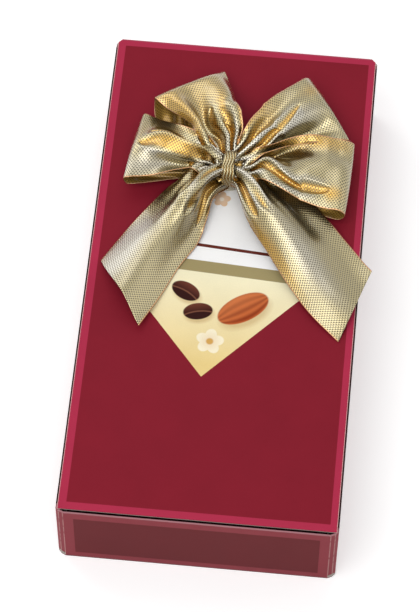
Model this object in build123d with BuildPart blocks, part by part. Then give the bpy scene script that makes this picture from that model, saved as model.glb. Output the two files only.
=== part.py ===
from build123d import *
import os
from math import asin, cos, degrees, radians, sin

# Chocolate box: a folding carton with a hinged tuck-in lid, a moulded tray of pralines and a ribbon bow.
# Millimetres, +Z up. X runs across the box, Y along it, and the tuck end faces -Y.
# The origin is the centre of the underside.

# Carton board and walls
carton_width = 96.0
carton_length = 194.0
carton_height = 34.0
board = 0.6                # thickness of the folding boxboard
ply_gap = 0.1              # air between two folded plies
bevel_width = 2.6          # how much of the front wall each bevelled corner takes
bevel_depth = 2.0          # how much of the side wall it takes
bevel_crease_x = 1.1       # the crease between the corner's two facets, measured from the side face
bevel_crease_y = 0.75      # the same crease, measured from the front face
corner_foot_gap = 1.6      # the corner facets stop this far above the bottom panel
seam_width = 14.0          # glued seam inside the left wall
seam_margin = 1.0

# Bottom flaps, glued on the bottom panel
bottom_flap_reach = 34.0
bottom_flap_taper = 6.0

# Lid, its tuck flap and the dust flaps
lid_side_reveal = 0.6      # the carton shows this much beyond the lid on each side
lid_front_gap = 1.4        # from the outside of the front wall to the lid's front fold
lid_corner_cut = 1.5
tuck_depth = 11.4
tuck_tilt = 4.0            # degrees that the tuck flap leans inwards
tuck_side_gap = 3.4        # the tuck flap is this much narrower than the lid on each side
tuck_corner_radius = 6.0
dust_flap_reach = 28.0
dust_flap_front_gap = 2.1  # from the lid's front fold to the dust flap
dust_flap_back_gap = 3.2   # from the lid's crease to the dust flap
dust_flap_front_taper = 8.0
dust_flap_corner_radius = 4.0

# Moulded tray
tray_sheet = 0.6
tray_clearance = 0.8       # between the tray and the carton's inside
tray_headroom = 11.8        # from the tray's top to the carton's top, for the pad and the tuck flap
tray_columns = 2
tray_rows = 4
tray_web_x = 4.4           # flat land between the cavities and beside them, across the box
tray_web_y = 5.0           # the same land along the box
tray_skirt = 6.0
cavity_corner_radius = 6.0
cavity_draft = 7.0         # degrees

# Pralines
praline_headroom = 2.9      # from the tallest praline's top to the tray's top
dark_radius = 13.6
dark_lobe_depth = 1.6      # how far a lobe stands out of the ring
dark_lobe_count = 14
dark_height_share = 0.714   # height of the fluted cone as a share of the room for a praline
dark_shoulder_share = 0.76  # the shoulder's size as a share of the foot's
dark_cap_radius = 8.6
dark_cap_height = 4.2
milk_length = 31.0
milk_width = 25.0
milk_slope = 3.6           # the sides lean in by this much
milk_edge_radius = 1.2
almond_length = 17.0
almond_width = 8.4
almond_seat = 1.2          # depth of the almond's seat in the milk bar
almond_clearance = 0.1
heart_width = 30.0
heart_length = 27.0
heart_height_share = 0.743
heart_flank_share = 0.75   # how wide the heart is at half its length
heart_draft = 9.0          # degrees
heart_edge_radius = 1.2
heart_tip_radius = 1.5     # at the point and the notch

# Cushion pad over the pralines
pad_thickness = 3.0
pad_gap = 0.3
pad_side_gap = 1.6         # from the pad to the carton's inside, left and right
pad_end_gap = 3.4          # the same at the two ends
pad_corner_radius = 3.0
pad_edge_radius = 1.0

# Bow of woven metallic ribbon
bow_x = -1.5
bow_back_gap = 56.7        # from the lid's crease to the bow's centre
ribbon_width = 30.0
ribbon_thickness = 0.6
adhesive_radius = 5.0
adhesive_thickness = 1.0
knot_radius = 5.4
knot_height = 8.0
knot_edge_radius = 3.0
tie_width = 2.6
tie_thickness = 0.6
tie_clearance = 0.05
bow_root = 6.3             # the loops and tails start this far from the bow's centre
loop_height = 11.5         # crown of a loop over the lid
loop_folds = 5
tail_folds = 5

# Places that follow from the sizes above
half_width = carton_width / 2
half_length = carton_length / 2
inner_half_width = half_width - board
inner_half_length = half_length - board
wall_top = carton_height - board
dust_flap_bottom = wall_top - ply_gap - board
side_wall_length = carton_length - 2 * bevel_depth
lid_width = carton_width - 2 * lid_side_reveal
lid_front = -half_length + lid_front_gap
lid_length = half_length - lid_front
lid_middle = (half_length + lid_front) / 2
tray_bottom = 2 * board
tray_top = carton_height - tray_headroom
tray_height = tray_top - tray_bottom
tray_inset = board + tray_clearance
tray_width = carton_width - 2 * tray_inset
tray_length = carton_length - 2 * tray_inset
cavity_width = (tray_width - (tray_columns + 1) * tray_web_x) / tray_columns
cavity_length = (tray_length - (tray_rows + 1) * tray_web_y) / tray_rows
cavity_pitch_x = cavity_width + tray_web_x
cavity_pitch_y = cavity_length + tray_web_y
praline_floor = tray_bottom + tray_sheet
praline_room = tray_height - tray_sheet - praline_headroom
milk_height = praline_room - almond_width / 2 + almond_seat
dark_height = dark_height_share * praline_room
heart_height = heart_height_share * praline_room
bow_y = half_length - bow_back_gap
cut_overrun = board

os.makedirs("parts", exist_ok=True)


def save(piece, name):
    """Labels a finished piece and writes it as its own file."""
    piece.label = name
    export_step(piece, f"parts/{name}.step")


def footprint(inset, height):
    """The carton's outline seen from above, with two small facets at each corner."""
    quarter = [
        (half_width, half_length - bevel_depth),
        (half_width - bevel_crease_x, half_length - bevel_crease_y),
        (half_width - bevel_width, half_length),
    ]
    right_back = quarter
    left_back = [(-x, y) for x, y in reversed(quarter)]
    left_front = [(-x, -y) for x, y in quarter]
    right_front = [(x, -y) for x, y in reversed(quarter)]
    with BuildSketch(Plane.XY.offset(height)) as outline:
        with BuildLine():
            Polyline(*right_back, *left_back, *left_front, *right_front, close=True)
        make_face()
        if inset:
            offset(amount=-inset, kind=Kind.INTERSECTION, mode=Mode.REPLACE)
    return outline.sketch


# Wall strip: front, back, two sides and the bevelled corners
with BuildPart() as wall_strip:
    add(footprint(0, board))
    extrude(amount=wall_top - board)
    add(footprint(board, board))
    extrude(amount=wall_top - board, mode=Mode.SUBTRACT)
    # the side walls end lower, under the folded dust flaps
    with Locations((half_width, 0, dust_flap_bottom), (-half_width, 0, dust_flap_bottom)):
        Box(2 * board + cut_overrun, side_wall_length, carton_height,
            align=(Align.CENTER, Align.CENTER, Align.MIN), mode=Mode.SUBTRACT)
    # the corner facets stop short of the bottom
    with Locations((0, 0, board)):
        with GridLocations(carton_width, carton_length, 2, 2):
            Box(2 * bevel_width, 2 * bevel_depth, corner_foot_gap,
                align=(Align.CENTER, Align.CENTER, Align.MIN), mode=Mode.SUBTRACT)

# The strip is parted at its creases: each piece is what lies in a box given by its centre and its spans in plan
wall_width = carton_width - 2 * bevel_width
wall_boxes = {
    "wall_front": (0, -half_length, wall_width, 2 * bevel_depth),
    "wall_back": (0, half_length, wall_width, 2 * bevel_depth),
    "wall_left": (-half_width, 0, 2 * bevel_width, side_wall_length),
    "wall_right": (half_width, 0, 2 * bevel_width, side_wall_length),
    "corner_front_left": (-half_width, -half_length, 2 * bevel_width, 2 * bevel_depth),
    "corner_front_right": (half_width, -half_length, 2 * bevel_width, 2 * bevel_depth),
    "corner_back_left": (-half_width, half_length, 2 * bevel_width, 2 * bevel_depth),
    "corner_back_right": (half_width, half_length, 2 * bevel_width, 2 * bevel_depth),
}
for name, (x, y, span_x, span_y) in wall_boxes.items():
    with BuildPart() as wall_panel:
        add(wall_strip.part)
        with Locations((x, y, board)):
            Box(span_x, span_y, carton_height, align=(Align.CENTER, Align.CENTER, Align.MIN),
                mode=Mode.INTERSECT)
    save(wall_panel.part, name)

# Glued seam: a second ply inside the left wall, beside the back corner
with BuildPart() as glue_seam:
    with Locations((-inner_half_width, half_length - bevel_depth - seam_margin, tray_bottom + seam_margin)):
        Box(board, seam_width, dust_flap_bottom - tray_bottom - 2 * seam_margin,
            align=(Align.MIN, Align.MAX, Align.MIN))
save(glue_seam.part, "glue_seam")

# Bottom panel
with BuildPart() as bottom_panel:
    add(footprint(0, 0))
    extrude(amount=board)
save(bottom_panel.part, "bottom_panel")

# Bottom flaps, folded in from the side walls and glued on the bottom panel
for side, name in ((1, "bottom_flap_right"), (-1, "bottom_flap_left")):
    flap_root = side * (inner_half_width - ply_gap)
    flap_tip = side * (inner_half_width - bottom_flap_reach)
    flap_end = half_length - bevel_depth - board
    with BuildPart() as bottom_flap:
        with BuildSketch(Plane.XY.offset(board)):
            with BuildLine():
                Polyline((flap_root, -flap_end), (flap_root, flap_end),
                         (flap_tip, flap_end - bottom_flap_taper),
                         (flap_tip, -flap_end + bottom_flap_taper), close=True)
            make_face()
        extrude(amount=board)
    save(bottom_flap.part, name)

# Lid panel, creased on the back wall
with BuildPart() as lid_panel:
    with BuildSketch(Plane((0, lid_middle, wall_top))) as lid_outline:
        Rectangle(lid_width, lid_length)
        chamfer(lid_outline.vertices().group_by(Axis.Y)[-1], length=lid_corner_cut)
    extrude(amount=board)
save(lid_panel.part, "lid_panel")

# Tuck flap, creased on the lid's front edge and slipped behind the front wall
tuck_plane = Plane(
    origin=(0, lid_front, carton_height),
    x_dir=(1, 0, 0),
    z_dir=(0, -cos(radians(tuck_tilt)), -sin(radians(tuck_tilt))),
)
tuck_start = board + ply_gap
with BuildPart() as tuck_flap:
    with BuildSketch(tuck_plane) as tuck_outline:
        with Locations((0, -tuck_start)):
            Rectangle(lid_width - 2 * tuck_side_gap, tuck_depth - tuck_start,
                      align=(Align.CENTER, Align.MAX))
        fillet(tuck_outline.vertices().group_by(Axis.Y)[0], radius=tuck_corner_radius)
    extrude(amount=-board)
save(tuck_flap.part, "tuck_flap")

# Dust flaps, creased on the side walls and folded in under the lid
for side, name in ((1, "dust_flap_right"), (-1, "dust_flap_left")):
    flap_front = lid_front + dust_flap_front_gap
    flap_back = half_length - dust_flap_back_gap
    flap_tip = side * (half_width - dust_flap_reach)
    with BuildPart() as dust_flap:
        with BuildSketch(Plane.XY.offset(dust_flap_bottom)) as dust_outline:
            with BuildLine():
                Polyline((side * half_width, flap_front), (side * half_width, flap_back),
                         (flap_tip, flap_back - dust_flap_reach),
                         (flap_tip, flap_front + dust_flap_front_taper), close=True)
            make_face()
            tip_corners = dust_outline.vertices().sort_by_distance((0, 0, 0))[:2]
            fillet(tip_corners, radius=dust_flap_corner_radius)
        extrude(amount=board)
    save(dust_flap.part, name)

# Moulded tray: a flat top with a cavity for each praline and a short skirt
with BuildPart() as tray:
    add(footprint(tray_inset, tray_top - tray_skirt))
    extrude(amount=tray_skirt)
    add(footprint(tray_inset + tray_sheet, tray_top - tray_skirt))
    extrude(amount=tray_skirt - tray_sheet, mode=Mode.SUBTRACT)
    with BuildSketch(Plane(origin=(0, 0, tray_top), z_dir=(0, 0, -1))):
        with GridLocations(cavity_pitch_x, cavity_pitch_y, tray_columns, tray_rows):
            RectangleRounded(cavity_width + 2 * tray_sheet, cavity_length + 2 * tray_sheet,
                             cavity_corner_radius + tray_sheet)
    extrude(amount=tray_height, taper=cavity_draft)
    with BuildSketch(Plane(origin=(0, 0, tray_top), z_dir=(0, 0, -1))):
        with GridLocations(cavity_pitch_x, cavity_pitch_y, tray_columns, tray_rows):
            RectangleRounded(cavity_width, cavity_length, cavity_corner_radius)
    extrude(amount=tray_height - tray_sheet, taper=cavity_draft, mode=Mode.SUBTRACT)
save(tray.part, "praline_tray")


def fluted_outline(share):
    """A ring of shallow outward arcs, its size a share of the praline's foot."""
    radius = share * dark_radius
    step = 360 / dark_lobe_count
    with BuildSketch() as outline:
        with BuildLine():
            for lobe in range(dark_lobe_count):
                ThreePointArc(Vector(radius, 0).rotate(Axis.Z, lobe * step),
                              Vector(radius + share * dark_lobe_depth, 0).rotate(Axis.Z, (lobe + 0.5) * step),
                              Vector(radius, 0).rotate(Axis.Z, (lobe + 1) * step))
        make_face()
    return outline.sketch


# Dark praline: a fluted cone with a cap that is a slice of a sphere, its foot at the origin
dome_radius = (dark_cap_radius**2 + dark_cap_height**2) / (2 * dark_cap_height)
dome_angle = degrees(asin(dark_cap_radius / dome_radius))
with BuildPart() as dark_praline:
    loft([fluted_outline(1), fluted_outline(dark_shoulder_share).locate(Location((0, 0, dark_height)))],
         ruled=True)
    with BuildSketch(Plane(origin=(0, 0, dark_height), x_dir=(1, 0, 0), z_dir=(0, -1, 0))):
        with BuildLine():
            CenterArc((0, dark_cap_height - dome_radius), dome_radius, 90 - dome_angle, dome_angle)
            Polyline((0, dark_cap_height), (0, 0), (dark_cap_radius, 0))
        make_face()
    revolve(axis=Axis.Z)

# Milk praline: a bar with leaning sides and a seat for an almond
almond_tip = almond_length / 2 + almond_clearance
almond_bulge = almond_width / 2 + almond_clearance
with BuildPart() as milk_praline:
    with BuildSketch():
        Rectangle(milk_length, milk_width)
    with BuildSketch(Plane.XY.offset(milk_height)):
        Rectangle(milk_length - 2 * milk_slope, milk_width - 2 * milk_slope)
    loft()
    fillet(milk_praline.edges().sort_by(Axis.Z)[4:], radius=milk_edge_radius)
    with BuildSketch(Plane.XY.offset(milk_height)):
        with BuildLine():
            ThreePointArc((-almond_tip, 0), (0, almond_bulge), (almond_tip, 0))
            ThreePointArc((almond_tip, 0), (0, -almond_bulge), (-almond_tip, 0))
        make_face()
    extrude(amount=-almond_seat, mode=Mode.SUBTRACT)

# Almond: half a nut, flat side down, its two ends pointed
with BuildPart() as almond_half:
    with BuildSketch():
        with BuildLine():
            ThreePointArc((-almond_length / 2, 0), (0, almond_width / 2), (almond_length / 2, 0))
            Line((almond_length / 2, 0), (-almond_length / 2, 0))
        make_face()
    revolve(axis=Axis.X, revolution_arc=180)

# Heart praline, its point towards the front
heart_lobe = heart_width / 4
heart_shoulder = heart_length / 2 - heart_lobe
heart_flank = heart_flank_share * heart_width / 2
with BuildPart() as heart_praline:
    with BuildSketch() as heart_outline:
        with BuildLine():
            ThreePointArc((0, heart_shoulder), (-heart_lobe, heart_shoulder + heart_lobe),
                          (-2 * heart_lobe, heart_shoulder))
            ThreePointArc((-2 * heart_lobe, heart_shoulder), (-heart_flank, 0), (0, -heart_length / 2))
            ThreePointArc((0, -heart_length / 2), (heart_flank, 0), (2 * heart_lobe, heart_shoulder))
            ThreePointArc((2 * heart_lobe, heart_shoulder), (heart_lobe, heart_shoulder + heart_lobe),
                          (0, heart_shoulder))
        make_face()
        fillet(heart_outline.vertices().group_by(Axis.X)[1], radius=heart_tip_radius)
    extrude(amount=heart_height, taper=heart_draft)
    fillet(heart_praline.faces().sort_by(Axis.Z)[-1].edges(), radius=heart_edge_radius)

# Pralines in their cavities, two across and four along, from the front
shapes = {"dark": dark_praline.part, "milk": milk_praline.part, "heart": heart_praline.part}
filling = (("milk", "dark"), ("heart", "milk"), ("dark", "heart"), ("milk", "dark"))
counts = dict.fromkeys(shapes, 0)
for row, kinds in enumerate(filling):
    for column, kind in enumerate(kinds):
        x = (column - (tray_columns - 1) / 2) * cavity_pitch_x
        y = (row - (tray_rows - 1) / 2) * cavity_pitch_y
        counts[kind] += 1
        save(shapes[kind].moved(Location((x, y, praline_floor))), f"praline_{kind}_{counts[kind]}")
        if kind == "milk":
            nut_floor = praline_floor + milk_height - almond_seat
            save(almond_half.part.moved(Location((x, y, nut_floor))), f"almond_{counts[kind]}")

# Cushion pad between the pralines and the lid
with BuildPart() as cushion_pad:
    with BuildSketch(Plane.XY.offset(tray_top + pad_gap)):
        RectangleRounded(2 * (inner_half_width - pad_side_gap), 2 * (inner_half_length - pad_end_gap),
                         pad_corner_radius)
    extrude(amount=pad_thickness)
    pad_rims = cushion_pad.edges().group_by(Axis.Z)
    fillet(pad_rims[0] + pad_rims[-1], radius=pad_edge_radius)
save(cushion_pad.part, "cushion_pad")

# Adhesive disc under the bow
with BuildPart() as bow_adhesive:
    with BuildSketch(Plane((bow_x, bow_y, carton_height))):
        Circle(adhesive_radius)
    extrude(amount=adhesive_thickness)
save(bow_adhesive.part, "bow_adhesive")

# Knot: the gathered middle of the ribbon
tie_bottom = carton_height + adhesive_thickness
knot_bottom = tie_bottom + tie_thickness + tie_clearance
knot_middle = knot_bottom + knot_height / 2
with BuildPart() as bow_knot:
    with BuildSketch(Plane((bow_x, bow_y, knot_bottom))):
        Circle(knot_radius)
    extrude(amount=knot_height)
    fillet(bow_knot.edges().filter_by(GeomType.CIRCLE), radius=knot_edge_radius)
save(bow_knot.part, "bow_knot")

# Tie: the narrow band drawn round the knot
tie_plane = Plane(origin=(bow_x, bow_y, knot_middle), x_dir=(0, 1, 0), z_dir=(1, 0, 0))
tie_hole_width = 2 * (knot_radius + tie_clearance)
tie_hole_height = knot_height + 2 * tie_clearance
with BuildPart() as bow_tie:
    with BuildSketch(tie_plane):
        RectangleRounded(tie_hole_width + 2 * tie_thickness, tie_hole_height + 2 * tie_thickness,
                         knot_edge_radius + tie_thickness)
        RectangleRounded(tie_hole_width, tie_hole_height, knot_edge_radius, mode=Mode.SUBTRACT)
    extrude(amount=tie_width / 2, both=True)
save(bow_tie.part, "bow_tie")


def ribbon_section(place, heading, pitch, width, fold_depth, folds):
    """One cross-section of a ribbon that runs along its heading, laid in folds that are shallow arcs.

    The heading is the direction in plan and the pitch its rise, in degrees. The section is square to both.
    """
    level = cos(radians(pitch))
    travel = (level * cos(radians(heading)), level * sin(radians(heading)), sin(radians(pitch)))
    across = (-sin(radians(heading)), cos(radians(heading)), 0)
    knots = [(k / folds - 0.5) * width for k in range(folds + 1)]
    with BuildSketch(Plane(origin=place, x_dir=across, z_dir=travel)) as section:
        with BuildLine():
            for level_y in (-ribbon_thickness / 2, ribbon_thickness / 2):
                for k in range(folds):
                    rise = fold_depth if k % 2 else -fold_depth
                    ThreePointArc((knots[k], level_y),
                                  ((knots[k] + knots[k + 1]) / 2, level_y + rise),
                                  (knots[k + 1], level_y))
            Line((knots[0], -ribbon_thickness / 2), (knots[0], ribbon_thickness / 2))
            Line((knots[-1], -ribbon_thickness / 2), (knots[-1], ribbon_thickness / 2))
        make_face()
    return section.sketch


# Loop profile, as shares: distance along the reach, height over the lid, ribbon width, fold depth.
# The pitch in degrees says how steeply the ribbon runs there. It goes out on top and comes back below.
loop_profile_shares = (
    (0.00, 0.62, 40, 0.15, 0.010),
    (0.27, 0.98, 14, 0.39, 0.030),
    (0.62, 1.00, -14, 0.68, 0.034),
    (0.88, 0.78, -35, 0.90, 0.016),
    (0.985, 0.62, -60, 0.99, 0.008),
    (1.00, 0.48, -90, 1.00, 0.006),
    (0.985, 0.34, -130, 0.99, 0.008),
    (0.88, 0.22, -165, 0.90, 0.014),
    (0.50, 0.16, -182, 0.58, 0.020),
    (0.00, 0.34, -205, 0.15, 0.010),
)
# heading in degrees, then the reach from the bow's centre as a share of the ribbon's width
loop_shares = {
    "bow_loop_back_left": (116.0, 1.31),
    "bow_loop_back_right": (41.6, 1.49),
    "bow_loop_front_left": (168.7, 1.20),
    "bow_loop_front_right": (-0.4, 1.41),
}
for name, (heading, reach_share) in loop_shares.items():
    reach = reach_share * ribbon_width
    sections = []
    for along_share, height_share, pitch, width_share, depth_share in loop_profile_shares:
        out = bow_root + along_share * (reach - bow_root)
        place = (bow_x + out * cos(radians(heading)), bow_y + out * sin(radians(heading)),
                 carton_height + height_share * loop_height)
        sections.append(ribbon_section(place, heading, pitch, width_share * ribbon_width,
                                       depth_share * ribbon_width, loop_folds))
    with BuildPart() as bow_loop:
        loft(sections, ruled=True)
    save(bow_loop.part, name)


# Tail profiles, from the knot to the cut end. Places are shares of the ribbon's width from the bow's centre,
# then the height over the lid as a share of the loop's height, the heading and the pitch in degrees,
# the width and the fold depth as shares of the ribbon's width, and the skew of the cut in degrees.
tail_shares = {
    "bow_tail_left": (
        (-0.116, -0.175, 0.62, -124, 10, 0.16, 0.010, 0),
        (-0.42, -0.42, 0.72, -135, -8, 0.46, 0.034, 0),
        (-0.73, -0.78, 0.52, -124, -18, 0.80, 0.040, 0),
        (-0.94, -1.22, 0.26, -113, -14, 0.92, 0.022, 0),
        (-1.12, -1.70, 0.09, -112, -4, 0.96, 0.012, -30),
    ),
    "bow_tail_right": (
        (0.150, -0.146, 0.62, -44, 10, 0.16, 0.010, 0),
        (0.52, -0.42, 0.74, -38, -6, 0.52, 0.038, 0),
        (0.92, -0.88, 0.52, -47, -18, 0.86, 0.040, 0),
        (1.26, -1.26, 0.26, -47, -14, 0.98, 0.022, 0),
        (1.63, -1.62, 0.09, -47, -4, 1.06, 0.012, 26),
    ),
}
for name, profile in tail_shares.items():
    sections = []
    for x_share, y_share, height_share, heading, pitch, width_share, depth_share, skew in profile:
        place = (bow_x + x_share * ribbon_width, bow_y + y_share * ribbon_width,
                 carton_height + height_share * loop_height)
        sections.append(ribbon_section(place, heading + skew, pitch, width_share * ribbon_width,
                                       depth_share * ribbon_width, tail_folds))
    with BuildPart() as bow_tail:
        loft(sections, ruled=True)
    save(bow_tail.part, name)
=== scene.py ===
import bpy
import numpy as np
from mathutils import Matrix, Vector


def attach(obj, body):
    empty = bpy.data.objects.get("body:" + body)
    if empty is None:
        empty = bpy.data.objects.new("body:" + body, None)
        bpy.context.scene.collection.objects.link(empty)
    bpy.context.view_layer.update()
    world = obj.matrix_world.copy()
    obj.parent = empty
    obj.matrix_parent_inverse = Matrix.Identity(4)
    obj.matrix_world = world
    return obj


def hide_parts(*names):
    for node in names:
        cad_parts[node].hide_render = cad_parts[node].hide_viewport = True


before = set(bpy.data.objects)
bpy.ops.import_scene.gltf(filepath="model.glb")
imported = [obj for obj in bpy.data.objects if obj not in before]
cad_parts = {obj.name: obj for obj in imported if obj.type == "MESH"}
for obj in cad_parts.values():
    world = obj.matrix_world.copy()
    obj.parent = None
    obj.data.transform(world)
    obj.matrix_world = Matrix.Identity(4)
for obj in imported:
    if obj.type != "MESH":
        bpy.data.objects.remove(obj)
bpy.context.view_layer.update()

# Millimetres in metres. The lid's height, the middle of the bow on it, and the ribbon's width are in millimetres.
MM = 0.001
LID_TOP = 34.0
BOW = np.array([-1.5, 40.3, LID_TOP])
RIBBON = 30.0


# ---------------------------------------------------------------- small helpers

def paint(code):
    """An sRGB hex colour as linear red, green, blue and alpha."""
    parts = [int(code[i:i + 2], 16) / 255 for i in (0, 2, 4)]
    return tuple(c / 12.92 if c <= 0.04045 else ((c + 0.055) / 1.055) ** 2.4 for c in parts) + (1.0,)


def every(millimetres):
    """The scale of a texture on Object coordinates whose grains lie so far apart."""
    return 1 / (millimetres * MM)


def put(tree, kind, inputs=(), out=0, **settings):
    """Adds one node, sets its attributes, fills its inputs with values or links, and gives one output back.

    The inputs are a list of the first ones in order, or a dict by number or name. A node with no output is given
    back itself.
    """
    made = tree.nodes.new("ShaderNode" + kind)
    for key, value in settings.items():
        setattr(made, key, value)
    for key, value in (inputs if isinstance(inputs, dict) else dict(enumerate(inputs))).items():
        if isinstance(value, bpy.types.NodeSocket):
            tree.links.new(value, made.inputs[key])
        else:
            made.inputs[key].default_value = value
    return made.outputs[out] if len(made.outputs) else made


def finish_of(name, make):
    """A material by its name. make(tree) lays its nodes and gives back its shader."""
    made = bpy.data.materials.new(name)
    made.use_nodes = True
    made.node_tree.nodes.clear()
    put(made.node_tree, "OutputMaterial", [make(made.node_tree)])
    return made


def grid_faces(rows, columns, wrap_rows=False, wrap_columns=False):
    """Corner numbers of the quads between the points of a grid."""
    index = np.arange(rows * columns).reshape(rows, columns)
    if wrap_rows:
        index = np.vstack([index, index[:1]])
    if wrap_columns:
        index = np.hstack([index, index[:, :1]])
    return np.stack([index[:-1, :-1], index[:-1, 1:], index[1:, 1:], index[1:, :-1]], -1).reshape(-1, 4)


def skin(name, points, faces, material, uv=None, fold=None):
    """A mesh object from points in millimetres and quads, shaded smooth, with a UV map and fold values if given."""
    mesh = bpy.data.meshes.new(name)
    mesh.from_pydata((points.reshape(-1, 3) * MM).tolist(), [], faces.tolist())
    mesh.update()
    mesh.polygons.foreach_set("use_smooth", np.ones(len(faces), bool))
    if uv is not None:
        corners = np.empty(len(mesh.loops), np.int32)
        mesh.loops.foreach_get("vertex_index", corners)
        layer = mesh.uv_layers.new(name="cloth")
        layer.data.foreach_set("uv", uv.reshape(-1, 2)[corners].astype(np.float32).ravel())
    if fold is not None:
        mesh.attributes.new("fold", "FLOAT", "POINT").data.foreach_set("value", fold.astype(np.float32).ravel())
    mesh.materials.append(material)
    made = bpy.data.objects.new(name, mesh)
    bpy.context.scene.collection.objects.link(made)
    return made


def smooth_through(knots, values, at):
    """Values at the places given, on cubic spans whose slopes are the mean slopes of the neighbouring chords."""
    knots, values = np.asarray(knots, float), np.asarray(values, float)
    slope = np.gradient(values, knots, axis=0)
    i = np.clip(np.searchsorted(knots, at) - 1, 0, len(knots) - 2)
    step = (knots[i + 1] - knots[i])[:, None]
    t = (at - knots[i])[:, None] / step
    return ((2 * t**3 - 3 * t**2 + 1) * values[i] + (t**3 - 2 * t**2 + t) * step * slope[i]
            + (3 * t**2 - 2 * t**3) * values[i + 1] + (t**3 - t**2) * step * slope[i + 1])


def running_mean(values, half):
    """The mean of a place and so many on each side of it, along the last axis, with the ends held."""
    held = np.pad(values, [(0, 0)] * (values.ndim - 1) + [(half, half)], mode="edge")
    return np.apply_along_axis(np.convolve, -1, held, np.ones(2 * half + 1) / (2 * half + 1), "valid")


# ---------------------------------------------------------------- camera

# Fitted to the corners of the box in the photograph: place in millimetres, directions, and lens for the sensor
CAMERA_AT = (42.7, -548.8, 972.7)
CAMERA_LOOK, CAMERA_RIGHT = (-0.0426, 0.4956, -0.8675), (0.9955, 0.0942, 0.0049)
SENSOR, LENS = 36.0, 182.04

camera_data = bpy.data.cameras.new("camera")
camera_data.sensor_width, camera_data.lens = SENSOR, LENS
camera_data.clip_start, camera_data.clip_end = 0.05, 20.0
camera = bpy.data.objects.new("camera", camera_data)
bpy.context.scene.collection.objects.link(camera)
bpy.context.scene.camera = camera
look = Vector(CAMERA_LOOK).normalized()
right = Vector(CAMERA_RIGHT)
right = (right - look * right.dot(look)).normalized()
turn = Matrix((right, right.cross(look), -look)).transposed()
camera.matrix_world = Matrix.Translation(Vector(CAMERA_AT) * MM) @ turn.to_4x4()


# ---------------------------------------------------------------- materials

# Patterns on the board and the contents lie on Object coordinates, in metres. TINT makes a Mix node mix colours.
TINT = dict(out=2, data_type="RGBA")

# The print, as measured in the photograph: its reds, the softness of its lines, the lid's inked panel, and the label's
# middle, turn and how far its corners stand out. FLAT is a scale that takes the height out of a printed picture.
# The walls' two reds are the lid's reds with painted shade and a painted greyish reflection of the pale floor in them:
# darker and greyer, as the upright walls look under the overhead lamps.
LID_PANEL, LID_BORDER, WALL_PANEL_PAINTED_SHADE, WALL_BORDER_PAINTED_SHADE = "831A2A", "B02E4B", "72272C", "994049"
SHARP = 0.05 * MM
PANEL_MIDDLE, PANEL_HALF = (0.2 * MM, 0.68 * MM, 0.0), (44.7 * MM, 93.6 * MM, 0.0)
LABEL_MIDDLE, LABEL_TURN, LABEL_CORNERS = (-2.7 * MM, 0.2 * MM, 0.0), np.radians(-1.6), (36.3 * MM, 41.0 * MM)
FLAT = 1000.0

# The ribbon's woven dots and copper edge line, in millimetres of its own UV map, and the height of its threads.
# Real threads are about 0.3 mm apart, too fine to show, so the dots are drawn four times as coarse.
DOTS_ALONG, DOTS_ACROSS, COPPER_LINE = 1.12, 1.34, 0.4
THREAD = 0.036 * MM


def metallic_weave(inner):
    """Ribbon woven of flat metallised yarn over a dull amber warp: a soft strong gloss, broken into small dots.

    The dots are sin(2 pi u / 1.12) sin(2 pi v / 1.34), with u along and v across the cloth in millimetres. The
    cloth's fold value is 0 in the bottom of a pleat and 1 on its ridge. Amber painted shade fills the bottoms, for the
    golden light that a pleat's sides mirror into each other, and the ridges have a silvery painted highlight. The
    inner side of the loops is painted all in that amber shade, and is duller. A clear film over the metal gives the
    coat, and a copper thread runs along both edges.
    """
    def make(tree):
        u, v, _ = put(tree, "SeparateXYZ", [put(tree, "UVMap", uv_map="cloth")]).node.outputs
        fold = put(tree, "Attribute", attribute_name="fold", out=2)
        along = put(tree, "Math", [u, 2 * np.pi / DOTS_ALONG], operation="MULTIPLY")
        across = put(tree, "Math", [v, 2 * np.pi / DOTS_ACROSS], operation="MULTIPLY")
        dots = put(tree, "Math", [put(tree, "Math", [along], operation="SINE"),
                                  put(tree, "Math", [across], operation="SINE")], operation="MULTIPLY")
        yarn = put(tree, "MapRange", [dots, -0.8, 0.1, 0.0, 1.0])
        # painted highlight: the cloth is painted lighter and silvery on the ridges of its folds
        painted_ridge_highlight = put(tree, "MapRange", [fold, 0.55, 0.85, 0.0, 1.0])
        light = put(tree, "Mix", {0: painted_ridge_highlight, 6: paint("ADA17A"), 7: paint("B3AEA0")}, **TINT)
        open_cloth = put(tree, "Mix", {0: yarn, 6: paint("3C2F10"), 7: light}, **TINT)
        painted_amber_shade_cloth = put(tree, "Mix", {0: yarn, 6: paint("6E4A16"), 7: paint("C09A48")}, **TINT)
        # painted shade: amber is mixed in towards the bottoms of the folds, and all over the inner side
        depth = put(tree, "MapRange", [fold, 0.15, 0.5, 0.0, 0.0 if inner else 1.0], interpolation_type="SMOOTHSTEP")
        tone = put(tree, "Mix", {0: depth, 6: painted_amber_shade_cloth, 7: open_cloth}, **TINT)
        edge = put(tree, "Math", [v], operation="ABSOLUTE")
        edge = put(tree, "Math", [edge, RIBBON / 2 - COPPER_LINE], operation="GREATER_THAN")
        tone = put(tree, "Mix", {0: edge, 6: tone, 7: paint("B0855A")}, **TINT)
        bump = put(tree, "Bump", {"Strength": 1.0, "Distance": THREAD, "Height": dots})
        return put(tree, "BsdfPrincipled", {
            "Base Color": tone, "Metallic": 0.6 if inner else 0.95, "Roughness": 0.5 if inner else 0.24,
            "Coat Weight": 0.9, "Coat Roughness": 0.14, "Normal": bump})
    return make


def laid(tree, under, over, value, edge, soft, most=1.0):
    """One colour laid over another where a value lies under the edge, on a ramp twice as wide as it is soft."""
    share = put(tree, "MapRange", [value, edge + soft, edge - soft, 0.0, most])
    return put(tree, "Mix", {0: share, 6: under, 7: over}, **TINT)


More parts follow.
